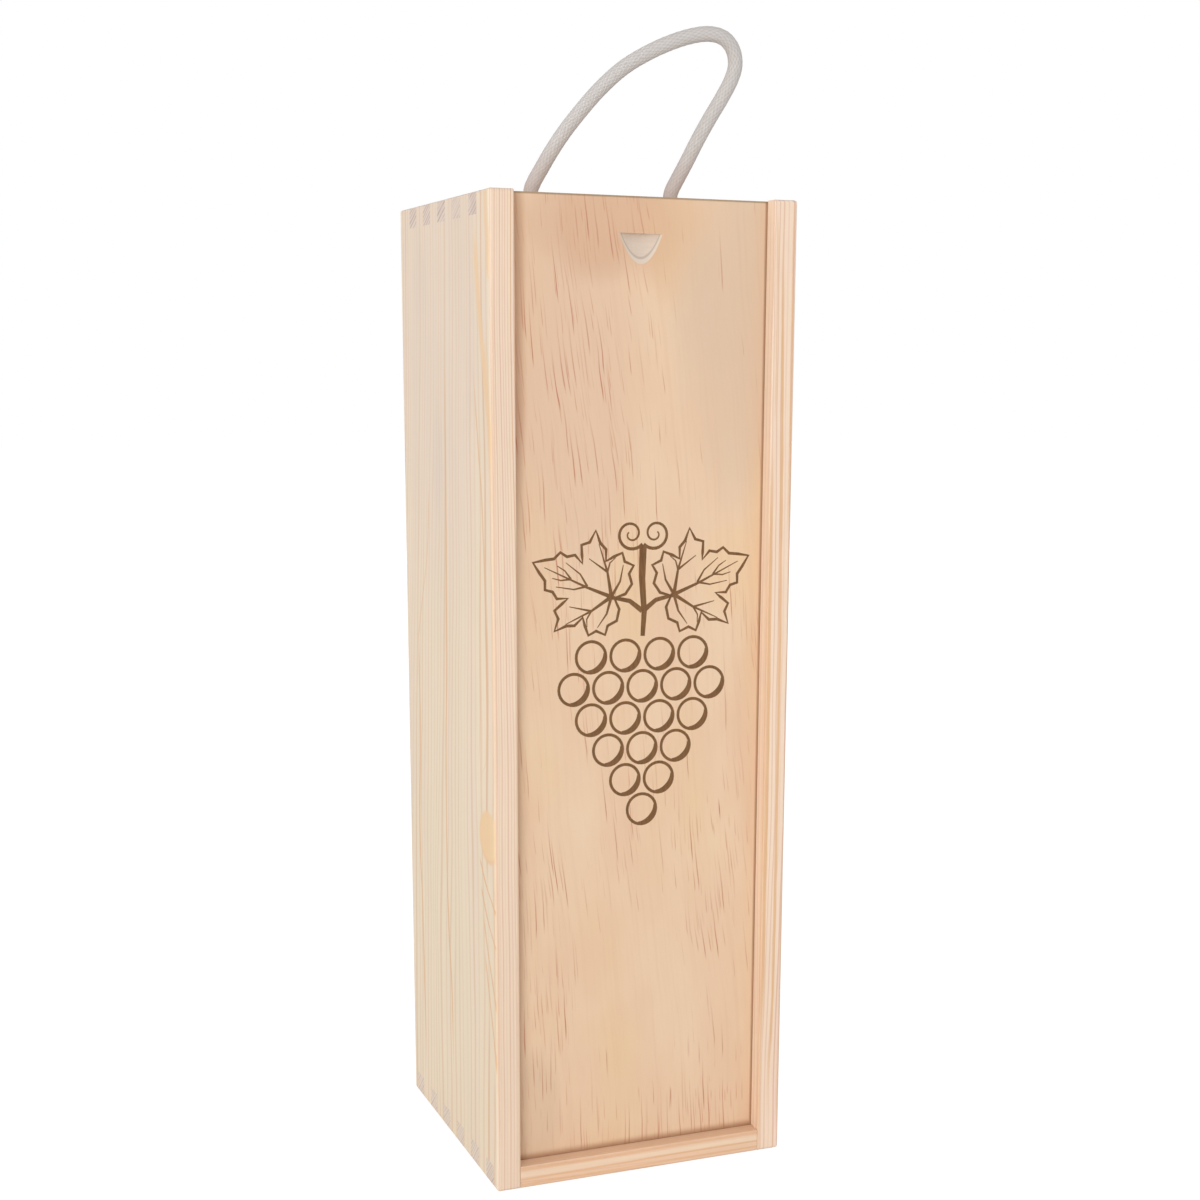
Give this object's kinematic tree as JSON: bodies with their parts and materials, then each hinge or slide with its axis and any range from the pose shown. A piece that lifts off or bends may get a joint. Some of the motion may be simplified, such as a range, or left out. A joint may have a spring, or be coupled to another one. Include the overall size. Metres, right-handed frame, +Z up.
{
  "type": "sliding-lid bottle box",
  "caption": "Tall pine box for one bottle, with finger-jointed corners, a thin lid that slides up in grooves, and a rope handle through the top.",
  "frame": {"origin": "middle of the underside that the box stands on", "axes": "+Z up along the box's height, +X to the right of someone facing the lid, and the lid faces -Y"},
  "size_m": [0.112, 0.111, 0.409],
  "materials": {
    "pine": "bare planed softwood, satin",
    "plywood": "bare sanded plywood, satin",
    "cotton_rope": "braided undyed cotton"
  },
  "bodies": {
    "box": {"left_side": "pine", "right_side": "pine", "top_board": "pine", "bottom_board": "pine", "back_panel": "plywood", "rope_end_left": "cotton_rope", "rope_end_right": "cotton_rope"},
    "lid": {"sliding_lid": "plywood"},
    "handle": {"rope_handle": "cotton_rope"}
  },
  "joints": [
    {"name": "lid_slide", "type": "slide", "parent": "box", "child": "lid", "axis": [0, 0, 1], "range_m": [0, 0.36]},
    {"name": "handle_swing", "type": "hinge", "parent": "box", "child": "handle", "pos_m": [0, -0.011, 0.3519], "axis": [-1, 0, 0], "range_deg": [-72, 102]}
  ]
}
